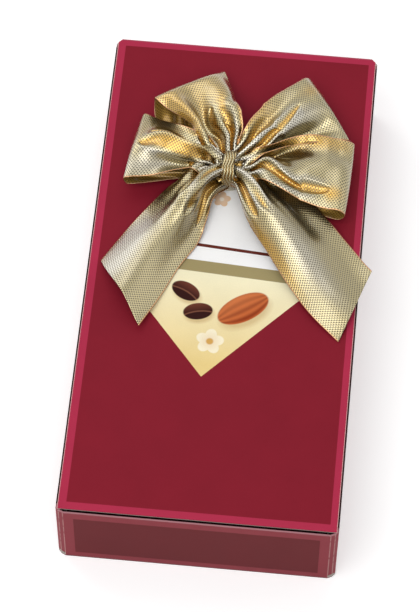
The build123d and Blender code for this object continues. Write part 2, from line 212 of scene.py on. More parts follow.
def spot(tree, place, centre, radii, degrees):
    """The place in an ellipse's own units, and how far out it is: 1 on its line. Sizes in millimetres."""
    own = put(tree, "Mapping", {0: place, "Location": (centre[0] * MM, centre[1] * MM, 0.0),
                                "Rotation": (0, 0, np.radians(degrees)),
                                "Scale": (radii[0] * MM, radii[1] * MM, FLAT)}, vector_type="TEXTURE")
    return own, put(tree, "VectorMath", [own], out=1, operation="LENGTH")


def shaded(tree, place, centre, radii, degrees, base):
    """The soft brown shade printed under a thing in the picture."""
    return laid(tree, base, paint("B98F4E"), spot(tree, place, centre, radii, degrees)[1], 0.86, 0.16, most=0.45)


def blossom(tree, place, centre, radius, base, petal, heart):
    """A five-petalled flower over the base colour: its line runs at 0.68 + 0.32 |cos 2.5 angle| of the radius.

    The petals take on up to 35% of the heart's colour towards it.
    """
    own, out = spot(tree, place, centre, (radius, radius), 12)
    x, y, _ = put(tree, "SeparateXYZ", [own]).node.outputs
    angle = put(tree, "Math", [put(tree, "Math", [y, x], operation="ARCTAN2"), 2.5], operation="MULTIPLY")
    lobe = put(tree, "Math", [put(tree, "Math", [angle], operation="COSINE")], operation="ABSOLUTE")
    line = put(tree, "Math", [lobe, 0.32, 0.68], operation="MULTIPLY_ADD")
    petal = laid(tree, petal, heart, out, 0.45, 0.4, most=0.35)
    face = laid(tree, base, petal, put(tree, "Math", [out, line], operation="DIVIDE"), 1.0, 0.04)
    return laid(tree, face, heart, out, 0.25, 0.05)


def cocoa_pod(tree, place, centre, radii, degrees, base):
    """A ribbed pod: the ribs are stripes sin(11 v / (1.05 - 0.7 u^2)) that close in towards its ends."""
    face = shaded(tree, place, (centre[0] + 1.0, centre[1] - 1.8), (radii[0] * 1.12, radii[1] * 1.2), degrees, base)
    own, out = spot(tree, place, centre, radii, degrees)
    u, v, _ = put(tree, "SeparateXYZ", [own]).node.outputs
    close = put(tree, "Math", [u, u], operation="MULTIPLY")
    close = put(tree, "Math", [close, -0.7, 1.05], operation="MULTIPLY_ADD")
    rib = put(tree, "Math", [put(tree, "Math", [v, close], operation="DIVIDE"), 11.0], operation="MULTIPLY")
    rib = put(tree, "Math", [put(tree, "Math", [rib], operation="SINE"), 0.5, 0.5], operation="MULTIPLY_ADD")
    husk = put(tree, "Mix", {0: rib, 6: paint("8E3514"), 7: paint("C56231")}, **TINT)
    lit = put(tree, "Math", [v, 0.35, 0.3], operation="MULTIPLY_ADD", use_clamp=True)
    husk = put(tree, "Mix", {0: lit, 6: husk, 7: paint("DB8450")}, **TINT)
    return laid(tree, face, husk, out, 1.0, 0.03)


def cocoa_bean(tree, place, centre, radii, degrees, base):
    """A dark bean with a lit upper side and a pale seam along v = -0.3 u^2."""
    face = shaded(tree, place, (centre[0] + 0.6, centre[1] - 1.3), (radii[0] * 1.15, radii[1] * 1.2), degrees, base)
    own, out = spot(tree, place, centre, radii, degrees)
    u, v, _ = put(tree, "SeparateXYZ", [own]).node.outputs
    lit = put(tree, "MapRange", [v, -0.2, 1.0, 0.0, 1.0])
    bean = put(tree, "Mix", {0: lit, 6: paint("2E0F0C"), 7: paint("6E3A2C")}, **TINT)
    seam = put(tree, "Math", [put(tree, "Math", [u, u], operation="MULTIPLY"), 0.3, v], operation="MULTIPLY_ADD")
    seam = put(tree, "Math", [seam], operation="ABSOLUTE")
    bean = laid(tree, bean, paint("8C5A44"), seam, 0.07, 0.05, most=0.7)
    return laid(tree, face, bean, out, 1.0, 0.04)


def bare_board(tree, place):
    """The board's unprinted side, grey-white pulp: fibres about 1.1 by 0.2 mm, and darker specks 0.4 mm apart."""
    fibre = put(tree, "Mapping", {0: place, "Scale": (1.0, 6.0, 1.0)})
    fibre = put(tree, "TexNoise", {0: fibre, "Scale": every(1.111), "Detail": 4.0})
    speck = put(tree, "TexNoise", {0: place, "Scale": every(0.3846), "Detail": 1.0})
    speck = put(tree, "MapRange", [speck, 0.66, 0.74, 0.0, 0.35])
    pulp = put(tree, "Mix", {0: fibre, 6: paint("CFC9BD"), 7: paint("E4DFD4")}, **TINT)
    return put(tree, "Mix", {0: speck, 6: pulp, 7: paint("8F8678")}, **TINT)


def inked(tree, place, colour):
    """Ink on coated board isn't quite even: a few percent, in clouds of 12.5 mm and a grain of 0.45 mm.

    The grain is given back too.
    """
    cloud = put(tree, "TexNoise", {0: place, "Scale": every(12.5), "Detail": 3.0})
    grain = put(tree, "TexNoise", {0: place, "Scale": every(0.4545), "Detail": 2.0})
    value = put(tree, "Math", [cloud, 0.16, 0.88], operation="MULTIPLY_ADD")
    value = put(tree, "Math", [grain, 0.08, value], operation="MULTIPLY_ADD")
    return put(tree, "HueSaturation", {"Value": value, "Color": colour}), grain


def varnished(tree, face, grain):
    """A dull varnish over the board: little specular, which keeps the reds deep under the lamps, and a faint grain."""
    bump = put(tree, "Bump", {"Strength": 0.08, "Distance": 0.04 * MM, "Height": grain})
    return put(tree, "BsdfPrincipled", {"Base Color": face, "Roughness": 0.55, "Specular IOR Level": 0.08,
                                        "Normal": bump})


def printed_lid(tree):
    """Carton board, offset printed and varnished: flat deep colours that end on sharp lines.

    An inked panel in a lighter border holds a label that stands on its corner, |x| / 36.3 + |y| / 41.0 < 1 in
    millimetres. Its lower field is cream and grows deeper downwards, under a band, a white field and a rule, all
    three a little aslant. The long sides are raw cuts, whose ragged pale line shows from above, the fold at the back
    has a pale painted highlight along it, and the under side is bare.
    """
    place = put(tree, "TexCoord", out=3)
    x, y, z = put(tree, "SeparateXYZ", [place]).node.outputs
    off = put(tree, "VectorMath", [place, PANEL_MIDDLE], operation="SUBTRACT")
    off = put(tree, "VectorMath", [off], operation="ABSOLUTE")
    off = put(tree, "VectorMath", [off, PANEL_HALF], operation="SUBTRACT")
    off_x, off_y, _ = put(tree, "SeparateXYZ", [off]).node.outputs
    off = put(tree, "Math", [off_x, off_y], operation="MAXIMUM")
    cover = laid(tree, paint(LID_BORDER), paint(LID_PANEL), off, 0.0, SHARP)

    label = put(tree, "Mapping", {0: place, "Location": LABEL_MIDDLE, "Rotation": (0, 0, LABEL_TURN)},
                vector_type="TEXTURE")
    across, up, _ = put(tree, "SeparateXYZ", [label]).node.outputs
    far = put(tree, "VectorMath", [label], operation="ABSOLUTE")
    far = put(tree, "VectorMath", [far, (1 / LABEL_CORNERS[0], 1 / LABEL_CORNERS[1], 0.0)], out=1,
              operation="DOT_PRODUCT")
    cream = put(tree, "MapRange", [up, 0.0, -36.0 * MM, 0.0, 1.0])
    field = put(tree, "Mix", {0: cream, 6: paint("FBF3CF"), 7: paint("EFD48E")}, **TINT)
    field = cocoa_pod(tree, place, (8.2, -12.4), (9.8, 5.1), 34, field)
    field = cocoa_bean(tree, place, (-12.4, -7.2), (5.4, 3.4), -28, field)
    field = cocoa_bean(tree, place, (-7.4, -15.0), (5.2, 3.3), 12, field)
    field = blossom(tree, place, (-2.2, -26.6), 5.0, field, paint("FFF4D6"), paint("D9A75A"))
    band = put(tree, "Math", [across, 0.03, up], operation="MULTIPLY_ADD")
    field = laid(tree, paint("A4966A"), field, band, 0.4 * MM, SHARP)
    field = laid(tree, paint("FFFFFF"), field, band, 5.1 * MM, SHARP)
    rule = put(tree, "Math", [across, 0.045, up], operation="MULTIPLY_ADD")
    rule = put(tree, "Math", [put(tree, "Math", [rule, 11.3 * MM], operation="SUBTRACT")], operation="ABSOLUTE")
    field = laid(tree, field, paint("64291F"), rule, 0.62 * MM, SHARP)
    field = blossom(tree, place, (-3.3, 31.6), 3.2, field, paint("EDC8A4"), paint("FFF4E4"))
    face, grain = inked(tree, place, laid(tree, cover, field, far, 1.0, 0.001))

    ragged = put(tree, "Math", [grain, 0.3 * MM, 47.06 * MM], operation="MULTIPLY_ADD")
    cut = put(tree, "Math", [put(tree, "Math", [x], operation="ABSOLUTE"), ragged], operation="GREATER_THAN")
    face = put(tree, "Mix", {0: cut, 6: face, 7: paint("D9AAA8")}, **TINT)
    # painted highlight: a pale line along the rounded fold at the back edge
    painted_fold_highlight = put(tree, "MapRange", [y, 96.4 * MM, 96.9 * MM, 0.0, 0.45])
    face = put(tree, "Mix", {0: painted_fold_highlight, 6: face, 7: paint("B07A88")}, **TINT)
    return varnished(tree, laid(tree, face, bare_board(tree, place), z, 33.7 * MM, 0.1 * MM), grain)


def board(side):
    """The same board on the carton's other panels: print on the outer side, bare on the inner one, pale cut edges.

    The side tells which way the printed face looks: out (walls), down (bottom), up (dust flaps) or front (tuck flap).
    The own normal against that way parts the three: over 0.3 is print, under -0.3 is bare, between them is a cut.
    """
    def make(tree):
        place = put(tree, "TexCoord", out=3)
        x, y, z = put(tree, "SeparateXYZ", [place]).node.outputs
        own_x, own_y, own_z = put(tree, "SeparateXYZ", [put(tree, "TexCoord", out=1)]).node.outputs
        wide = put(tree, "Math", [x], operation="ABSOLUTE")
        deep = put(tree, "Math", [y], operation="ABSOLUTE")
        ink = paint(WALL_BORDER_PAINTED_SHADE)
        if side == "out":
            way = put(tree, "Math", [own_x, put(tree, "Math", [x], operation="SIGN")], operation="MULTIPLY")
            way = put(tree, "Math", [own_y, put(tree, "Math", [y], operation="SIGN"), way], operation="MULTIPLY_ADD")
            # one panel on each wall, set in from the corner folds and from the top and the bottom
            level = put(tree, "Math", [z, 16.5 * MM], operation="SUBTRACT")
            level = put(tree, "Math", [level], operation="ABSOLUTE")
            level = put(tree, "Math", [level, 12.9 * MM], operation="SUBTRACT")
            ends = put(tree, "Math", [put(tree, "Math", [wide, 41.9 * MM], operation="SUBTRACT"),
                                      put(tree, "Math", [deep, 91.2 * MM], operation="SUBTRACT")], operation="MINIMUM")
            edge = put(tree, "Math", [level, ends], operation="MAXIMUM")
            ink = laid(tree, ink, paint(WALL_PANEL_PAINTED_SHADE), edge, 0.0, SHARP)
        elif side == "front":
            way = put(tree, "Math", [own_y, -1.0], operation="MULTIPLY")
            # painted shade: above 30.5 mm, where the flap shows in the dark gap under the lid's front fold, it is
            # painted near black
            ink = laid(tree, paint("23080C"), ink, z, 30.5 * MM, 1.2 * MM)
        else:
            way = put(tree, "Math", [own_z, 1.0 if side == "up" else -1.0], operation="MULTIPLY")
            if side == "up":
                # painted shade: past 47.2 mm out, the root of each flap, deep in the gap beside the lid, is painted
                # near black
                ink = laid(tree, paint("2A0D12"), ink, wide, 47.2 * MM, 0.1 * MM)
        ink, grain = inked(tree, place, ink)
        if side == "out":
            # creased ink cracks into pale lines along the corner folds, broken in pieces of about 2.4 mm
            flaw = put(tree, "TexNoise", {0: place, "Scale": every(2.381), "Detail": 3.0})
            flaw = put(tree, "MapRange", [flaw, 0.36, 0.5, 0.15, 0.6])
            near = 1.0
            for value, at in ((wide, 45.4), (wide, 46.9), (deep, 95.0)):
                apart = put(tree, "Math", [value, at * MM], operation="SUBTRACT")
                apart = put(tree, "Math", [apart], operation="ABSOLUTE")
                near = put(tree, "Math", [near, apart], operation="MINIMUM")
            crack = put(tree, "MapRange", [near, 0.23 * MM, 0.09 * MM, 0.0, 1.0])
            crack = put(tree, "Math", [crack, flaw], operation="MULTIPLY")
            ink = put(tree, "Mix", {0: crack, 6: ink, 7: paint("D3A9A6")}, **TINT)
            # painted highlight: a pale line along the walls' rounded top fold
            painted_fold_highlight = put(tree, "MapRange", [z, 32.8 * MM, 33.4 * MM, 0.0, 0.25])
            ink = put(tree, "Mix", {0: painted_fold_highlight, 6: ink, 7: paint("A86A72")}, **TINT)
        face = laid(tree, ink, paint("A6747A" if side == "out" else "855A5E"), way, 0.3, 0.02)
        return varnished(tree, laid(tree, face, bare_board(tree, place), way, -0.3, 0.02), grain)
    return make


def tray_sheet(tree):
    """Brown plastic film, vacuum-formed over a mould: glossy, and paler where it is stretched low in the cavities.

    The film's thickness and gloss change in clouds of 6.25 mm.
    """
    place = put(tree, "TexCoord", out=3)
    low = put(tree, "MapRange", [put(tree, "SeparateXYZ", [place], out=2), 1 * MM, 21 * MM, 1.0, 0.0])
    cloud = put(tree, "TexNoise", {0: place, "Scale": every(6.25), "Detail": 3.0})
    thin = put(tree, "Math", [cloud, 0.6, 0.5], operation="MULTIPLY_ADD")
    thin = put(tree, "Math", [low, thin], operation="MULTIPLY")
    tone = put(tree, "Mix", {0: thin, 6: paint("3B1E14"), 7: paint("6A4026")}, **TINT)
    gloss = put(tree, "MapRange", {0: cloud, 3: 0.14, 4: 0.34})
    bump = put(tree, "Bump", {"Strength": 0.12, "Distance": 0.2 * MM, "Height": cloud})
    return put(tree, "BsdfPrincipled", {"Base Color": tone, "Roughness": gloss, "Normal": bump})


def pad_paper(tree):
    """Glassine paper, pressed smooth and quilted over wadding: white, a little silky, with crinkles 4 mm apart."""
    place = put(tree, "TexCoord", out=3)
    crinkle = put(tree, "TexNoise", {0: place, "Scale": every(3.846), "Detail": 5.0, "Distortion": 1.2})
    tone = put(tree, "Mix", {0: crinkle, 6: paint("D8CFBE"), 7: paint("F2ECDF")}, **TINT)
    bump = put(tree, "Bump", {"Strength": 0.35, "Distance": 0.3 * MM, "Height": crinkle})
    return put(tree, "BsdfPrincipled", {"Base Color": tone, "Roughness": 0.5, "Sheen Weight": 0.15, "Normal": bump})


def chocolate(deep, light, gloss):
    """Chocolate cast in a polished mould: even, softly glossy, with faint bloom in patches of 8 mm and tiny pits."""
    def make(tree):
        place = put(tree, "TexCoord", out=3)
        bloom = put(tree, "TexNoise", {0: place, "Scale": every(8.333), "Detail": 4.0})
        pits = put(tree, "TexVoronoi", {0: place, "Scale": every(1.111)})
        pits = put(tree, "MapRange", [pits, 0.0, 0.25, 0.0, 1.0])
        patch = put(tree, "MapRange", [bloom, 0.35, 0.75, 0.0, 1.0])
        tone = put(tree, "Mix", {0: patch, 6: paint(deep), 7: paint(light)}, **TINT)
        shine = put(tree, "MapRange", [bloom, 0.3, 0.7, gloss - 0.06, gloss + 0.12])
        bump = put(tree, "Bump", {"Strength": 0.1, "Distance": 0.2 * MM, "Height": pits})
        return put(tree, "BsdfPrincipled", {
            "Base Color": tone, "Roughness": shine, "Normal": bump, "Subsurface Weight": 0.08,
            "Subsurface Radius": (2 * MM, 1 * MM, 0.6 * MM), "Subsurface Scale": 1.0})
    return make


def almond_skin(tree):
    """A blanched nut, scalded and rubbed out of its skin: pale and dull, with darker furrows along it, 0.9 mm apart."""
    place = put(tree, "TexCoord", out=3)
    furrow = put(tree, "Mapping", {0: place, "Scale": (0.14, 1.0, 1.0)})
    furrow = put(tree, "TexNoise", {0: furrow, "Scale": every(0.9091), "Detail": 4.0, "Distortion": 0.4})
    furrow = put(tree, "MapRange", [furrow, 0.3, 0.65, 0.0, 1.0])
    tone = put(tree, "Mix", {0: furrow, 6: paint("C08A50"), 7: paint("EBD3A2")}, **TINT)
    bump = put(tree, "Bump", {"Strength": 0.3, "Distance": 0.2 * MM, "Height": furrow})
    return put(tree, "BsdfPrincipled", {"Base Color": tone, "Roughness": 0.5, "Normal": bump})


def glue_dot(tree):
    """Hot-melt adhesive, set in a drop: milky, so that light goes into it, with bubbles 0.7 mm apart."""
    place = put(tree, "TexCoord", out=3)
    bubble = put(tree, "TexVoronoi", {0: place, "Scale": every(0.7143)})
    bubble = put(tree, "MapRange", [bubble, 0.05, 0.3, 0.0, 1.0])
    tone = put(tree, "Mix", {0: bubble, 6: paint("F2EEE4"), 7: paint("CFC8B4")}, **TINT)
    bump = put(tree, "Bump", {"Strength": 0.3, "Distance": 0.2 * MM, "Height": bubble})
    return put(tree, "BsdfPrincipled", {
        "Base Color": tone, "Roughness": 0.3, "Normal": bump, "Subsurface Weight": 0.5,
        "Subsurface Radius": (2 * MM, 2 * MM, 2 * MM), "Subsurface Scale": 1.0})


gold_cloth = finish_of("woven metallic ribbon", metallic_weave(inner=False))
# the inner side of the cloth is painted in amber shade all over
painted_amber_inner_cloth = finish_of("woven metallic ribbon, inner side, painted amber shade", metallic_weave(inner=True))
pad_skin = finish_of("quilted glassine paper", pad_paper)
wall_print = finish_of("varnished carton board, walls", board("out"))

# the finishes of the solids, by how their names start
SOLID_FINISHES = (
    ("lid_panel", finish_of("varnished carton board, lid", printed_lid)),
    ("wall_", wall_print), ("corner_", wall_print), ("glue_seam", wall_print),
    ("bottom_", finish_of("varnished carton board, bottom", board("down"))),
    ("dust_flap", finish_of("varnished carton board, dust flaps", board("up"))),
    ("tuck_flap", finish_of("varnished carton board, tuck flap", board("front"))),
    ("praline_tray", finish_of("vacuum-formed brown plastic", tray_sheet)),
    ("praline_milk", finish_of("moulded milk chocolate", chocolate("6E3A20", "8A5231", 0.3))),
    ("praline_dark", finish_of("moulded dark chocolate", chocolate("2E140F", "45241B", 0.24))),
    ("praline_heart", finish_of("moulded white chocolate", chocolate("EAD39C", "F6E8C2", 0.32))),
    ("almond_", finish_of("blanched almond", almond_skin)),
    ("cushion_pad", pad_skin),
    ("bow_adhesive", finish_of("hot-melt adhesive", glue_dot)),
    ("bow_", gold_cloth))
for name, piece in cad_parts.items():
    piece.data.materials.clear()
    piece.data.materials.append(next(made for start, made in SOLID_FINISHES if name.startswith(start)))


# ---------------------------------------------------------------- ribbon bow

# The points of a ribbon along and across it, the thickness of its cloth and its least height over the lid in
# millimetres, the steepest slope of a fold in radians, and the number of folds at the knot
ROWS, COLUMNS = 220, 151
CLOTH, CLEAR = 0.22, 0.15
STEEPEST = 1.75
ROOT_FOLDS = 4


def folded_ribbon(name, node, stations, pleats, waves, painted_shade_and_highlight, seed, cut=0.0):
    """A ribbon whose width is laid in folds, with its arc length kept.

    Each station gives the centre (x, y, height over the lid), the heading and pitch of travel and the bank in
    degrees, the ribbon's drawn-in width as a share of its flat width, and the arch in radians. Across the ribbon, at
    s millimetres from its middle, the cloth's slope angle is the arch times -s over half the width, plus c times the
    pleats and k times the waves, which tanh holds under 1.75. The points are the running sums of the angle's cosine
    and sine. k draws the ribbon in to the station's width, and c is 1, or less where the pleats alone would draw it
    in too far.

    A pleat is a scooped valley of slope q e^-(q/1.3)^6, with q the distance from its middle over its half width. It
    is given by its middle at the knot and at its end, its half width at both, its slope, and its end as a share of
    the way out. The half width ends as sqrt(1 - w^5), w from 0 to 1, which rounds the valley off like the end of a
    leaf. A wave is given by its middle, half width, strength and the share where it fades, and is q e^(1/2 - q^2/2).

    A row of painted shade and highlight gives a middle and a half width across, a place and a reach on the way out,
    and a strength. It takes the fold value down by strength times e^-(q^2) times e^-(w^2), which paints amber shade
    where the cloth curls from the light, or up to a silvery painted highlight where the strength is negative. The
    cut is the slant of a tail's free end. Without one the ribbon is a loop, whose two ends both run into the knot.
    """
    loop = not cut
    chords = np.linalg.norm(np.diff(np.asarray(stations, float)[:, :3], axis=0), axis=1)
    reached = np.concatenate([[0], np.cumsum(chords)])
    at = np.linspace(0, reached[-1], ROWS)
    line = smooth_through(reached, stations, at)
    share = at / reached[-1]
    t = 1 - np.abs(2 * share - 1) if loop else share
    s = np.linspace(-RIBBON / 2, RIBBON / 2, COLUMNS)
    step = s[1] - s[0]
    crisp, soft = np.zeros((ROWS, COLUMNS)), np.zeros((ROWS, COLUMNS))
    for start, finish, half_in, half_out, slope, end in pleats:
        w = np.clip(t / end, 0, 1)[:, None]
        half = (half_in + (half_out - half_in) * w) * np.sqrt(1 - w**5) + 1e-3
        q = (s[None] - start - (finish - start) * w) / half
        crisp += slope * q * np.exp(-(np.abs(q) / 1.3)**6)
    for middle, half, strength, fade in waves:
        q = (s - middle) / half
        soft += strength * (q * np.exp(0.5 - q**2 / 2))[None] / (1 + (t / fade)**4)[:, None]
    phase = np.random.default_rng(seed).random()
    warp = s / RIBBON + 0.5 + 0.03 * np.sin(2 * np.pi * (s / RIBBON * 1.7 + phase))
    # the half of a loop that lies below has only small even folds
    below = (np.clip(share * 8 - 4.2, 0, 1) if loop else 0 * share)[:, None]
    crisp *= 1 - 0.92 * below
    soft = soft * (1 - below) + below * np.sin(10 * np.pi * warp)[None]
    gather = 1.3 * np.sin(2 * np.pi * ROOT_FOLDS * warp)[None] / (1 + (t / 0.2)**4)[:, None]
    soft += gather
    arch = -line[:, 7][:, None] * (s / (RIBBON / 2))[None]

    def drawn_in(angle):
        width = np.cos(angle)
        return (width.sum(1) - (width[:, 0] + width[:, -1]) / 2) * step

    def folded(slopes):
        return STEEPEST * np.tanh(slopes / STEEPEST)

    def solved(base, pattern, top):
        """The factor on the pattern that draws each row in to its station's width, halved in on and evened out."""
        least, most = np.zeros(ROWS), top + np.zeros(ROWS)
        for _ in range(26):
            factor = (least + most) / 2
            wide = drawn_in(arch + folded(base + factor[:, None] * pattern)) > line[:, 6] * RIBBON
            least, most = np.where(wide, factor, least), np.where(wide, most, factor)
        return running_mean((least + most) / 2, 4)[:, None]

    def summed(part, angle):
        """The running sum of the cosine or sine of the angles half way between the points."""
        return np.concatenate([np.zeros((ROWS, 1)), np.cumsum(part((angle[:, 1:] + angle[:, :-1]) / 2) * step, 1)], 1)

    crisp = solved(0, crisp, 1.0) * crisp
    k = solved(crisp, soft, np.minimum(4.0 / np.maximum(np.abs(soft).max(1), 1e-3), 30.0))
    angle = arch + folded(crisp + k * soft)
    x, z = summed(np.cos, angle), summed(np.sin, angle)
    x -= (x[:, :1] + x[:, -1:]) / 2
    z -= z.mean(1)[:, None]
    # the fold value is how high a point lies over the mean of 4 mm on each side of it, from -1.1 to 1.1 mm; it paints
    # amber shade into the valleys and a silvery highlight onto the ridges
    rise = summed(np.sin, folded(crisp + k * gather))
    fold = np.clip(0.5 + (rise - running_mean(rise, 20)) / 2.2, 0, 1)
    # painted shade and highlight: each row takes the fold value down to amber shade, or up to a silvery highlight
    for middle, half, place, reach, strength in painted_shade_and_highlight:
        fold *= 1 - strength * np.exp(-((s - middle) / half)**2)[None] * np.exp(-((t - place) / reach)**2)[:, None]

    heading, pitch, bank = np.radians(line[:, 3]), np.radians(line[:, 4]), np.radians(line[:, 5])
    across = np.stack([-np.sin(heading) * np.cos(bank), np.cos(heading) * np.cos(bank), np.sin(bank)], 1)
    travel = np.stack([np.cos(pitch) * np.cos(heading), np.cos(pitch) * np.sin(heading), np.sin(pitch)], 1)
    travel -= across * (travel * across).sum(1)[:, None]
    travel /= np.linalg.norm(travel, axis=1)[:, None]
    normal = np.cross(travel, across)
    centre = line[:, :3] + [0, 0, LID_TOP]
    points = centre[:, None] + across[:, None] * x[..., None] + normal[:, None] * z[..., None]
    # nothing sinks into the lid: a row that would is lifted, and its neighbours with it
    lift = np.maximum(0, LID_TOP + CLEAR - points[..., 2].min(1))
    lift = np.stack([np.roll(np.pad(lift, 8), j)[8:-8] for j in range(-8, 9)]).max(0)
    points[..., 2] += running_mean(lift, 8)[:, None]
    lengths = np.concatenate([[0], np.cumsum(np.linalg.norm(np.diff(line[:, :3], axis=0), axis=1))])
    along = lengths[:, None].repeat(COLUMNS, 1)
    if cut:
        # each column ends at its own length, so that the end is cut on the slant
        last = lengths[-1] - abs(cut) * RIBBON / 2 + cut * s
        along = np.linspace(0, 1, ROWS)[:, None] * last[None]
        place = np.interp(along.ravel(), lengths, np.arange(ROWS)).reshape(ROWS, COLUMNS)
        i = np.clip(place.astype(int), 0, ROWS - 2)
        j = np.arange(COLUMNS)[None].repeat(ROWS, 0)
        f = (place - i)[..., None]
        points = points[i, j] * (1 - f) + points[i + 1, j] * f
    uv = np.stack([along, s[None].repeat(ROWS, 0)], -1)
    made = skin(name, points, grid_faces(ROWS, COLUMNS)[:, ::-1], gold_cloth, uv, fold)
    made.data.materials.append(painted_amber_inner_cloth)
    thick = made.modifiers.new("cloth", "SOLIDIFY")
    thick.thickness, thick.offset, thick.material_offset = CLOTH * MM, 0.0, 1
    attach(made, "lid")
    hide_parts(node)


# The height of a loop's crown over the lid and the radius where it starts, in millimetres, and its line: shares of
# the reach and of the crown, pitch in degrees, share of the ribbon's width and arch in radians. A word stands for a
# width that each loop gives for itself.
CROWN, ROOT = 11.0, 2.4
LOOP_LINE = (
    (0.00, 0.58, 36, 0.22, 0.0), (0.13, 0.78, 26, "first", 0.1), (0.30, 0.96, 12, "second", 0.3),
    (0.58, 1.02, -4, "third", 0.55), (0.84, 0.94, -10, "fourth", 0.5), (0.960, 0.86, -20, 0.985, 0.28),
    (0.996, 0.71, -58, 1.00, 0.12), (1.00, 0.55, -98, 1.00, 0.1), (0.97, 0.40, -150, 1.0, 0.1),
    (0.84, 0.28, -168, 0.94, 0.2), (0.50, 0.17, -178, 0.68, 0.2), (0.16, 0.20, -190, 0.32, 0.0),
    (0.00, 0.30, -200, 0.20, 0.0))


def loop_stations(tip_a, tip_b, drawn, under=(0.0, 0.0), bulge=0.0, lean=0.0, puff=1.0):
    """Stations of a loop from the two corners of its far fold, x, y and height: out on top, round, and back below.

    The ribbon is drawn in to the four shares of its width at 0.13, 0.3, 0.58 and 0.84 of the way out. The middle
    line bows sideways by the bulge, towards the second corner where it is positive, and its half below shifts by
    under. The lean raises the second side half way out, in degrees, and the puff multiplies the arch across.
    """
    tip_a, tip_b = np.array(tip_a, float), np.array(tip_b, float)
    widths = dict(zip(("first", "second", "third", "fourth"), drawn))
    bank = np.degrees(np.arcsin((tip_b[2] - tip_a[2]) / RIBBON))
    side = (tip_b - tip_a)[:2] / np.linalg.norm((tip_b - tip_a)[:2])
    way = ((tip_a + tip_b) / 2)[:2] - BOW[:2]
    reach = np.linalg.norm(way)
    way /= reach
    root_heading = np.degrees(np.arctan2(way[1], way[0]))
    turned = (np.degrees(np.arctan2(side[1], side[0])) - 90 - root_heading + 180) % 360 - 180
    rows = []
    for share, height, pitch, wide, arch in LOOP_LINE:
        below = max(0.0, -pitch - 90) / 90
        swell = np.sin(np.pi * share)
        shift = np.array(under) * below * swell + np.array([-way[1], way[0]]) * bulge * swell * (1 - below)
        x, y = BOW[:2] + way * (ROOT + share * (reach - ROOT)) + shift
        heading = root_heading + turned * min(1.0, share / 0.9) ** 1.5
        tilt = bank * share**2 * (1 - below**2) + lean * swell * (1 - below)
        rows.append((x, y, height * CROWN, heading, pitch, tilt, widths.get(wide, wide), arch * puff))
    return rows


folded_ribbon(
    "ribbon_loop_back_right", "bow_loop_back_right",
    loop_stations((40.3, 56.8, 6), (24.6, 80.9, 6), (0.27, 0.46, 0.73, 0.90), bulge=1.9),
    pleats=((1.0, 2.0, 1.8, 2.7, 1.35, 0.47), (-3.0, 5.5, 1.5, 2.2, 1.35, 0.72)),
    waves=((9.5, 3.0, 0.7, 0.60), (-7.0, 4.5, 1.0, 0.95), (3.0, 3.0, 0.3, 0.8)),
    painted_shade_and_highlight=((12, 5, 0.35, 0.25, 0.5), (8, 4, 0.95, 0.18, 0.45), (1, 5, 0.65, 0.25, -0.6)), seed=3)
folded_ribbon(
    "ribbon_loop_back_left", "bow_loop_back_left",
    loop_stations((-8.6, 82.9, 4), (-30.1, 66.8, 10), (0.25, 0.40, 0.65, 0.89), under=(-5.0, -4.0), bulge=-2.4,
                  puff=0.8),
    pleats=((-2.0, -2.9, 1.7, 2.6, 1.35, 0.57), (-7.0, -6.5, 1.3, 1.8, 1.3, 0.37), (6.0, 9.0, 1.3, 1.8, 1.2, 0.38)),
    waves=((-8.0, 4.0, 0.5, 0.38), (4.0, 4.5, 0.7, 0.38), (-9.0, 4.0, -0.12, 3.0), (9.5, 3.4, -0.13, 3.0)),
    painted_shade_and_highlight=((0, 30, 0.6, 1.0, 0.28), (13, 6, 0.55, 0.4, 0.45)), seed=5)
folded_ribbon(
    "ribbon_loop_front_left", "bow_loop_front_left",
    loop_stations((-34.8, 61.2, 5), (-38.8, 31.6, 8), (0.27, 0.47, 0.74, 0.90), under=(0.0, 2.5), bulge=-1.7,
                  puff=0.75),
    pleats=((1.8, 1.0, 2.2, 3.8, 1.15, 0.88), (-3.2, -4.6, 1.0, 1.8, 1.1, 0.80), (6.5, 7.0, 1.4, 1.9, 1.3, 0.37)),
    waves=((-9.5, 4.0, 0.4, 0.4), (9.0, 4.0, 0.7, 0.5), (4.0, 8.0, -0.1, 3.0)),
    painted_shade_and_highlight=((-3, 9, 0.5, 0.45, 0.55), (10, 6, 0.8, 0.35, -0.6)), seed=7)
folded_ribbon(
    "ribbon_loop_front_right", "bow_loop_front_right",
    loop_stations((41.0, 25.2, 6), (42.3, 54.0, 6), (0.30, 0.56, 0.88, 0.97), bulge=1.2, lean=8, puff=0.6),
    pleats=((-6.0, -9.6, 1.6, 2.4, 1.35, 0.58), (-13.5, -7.5, 1.8, 3.2, 1.1, 0.82)),
    waves=((9.0, 4.0, 1.0, 0.9), (1.0, 3.5, 0.7, 0.5)),
    painted_shade_and_highlight=((13, 4, 0.6, 0.4, 0.55), (-9, 3, 0.8, 0.12, 0.6)), seed=9)
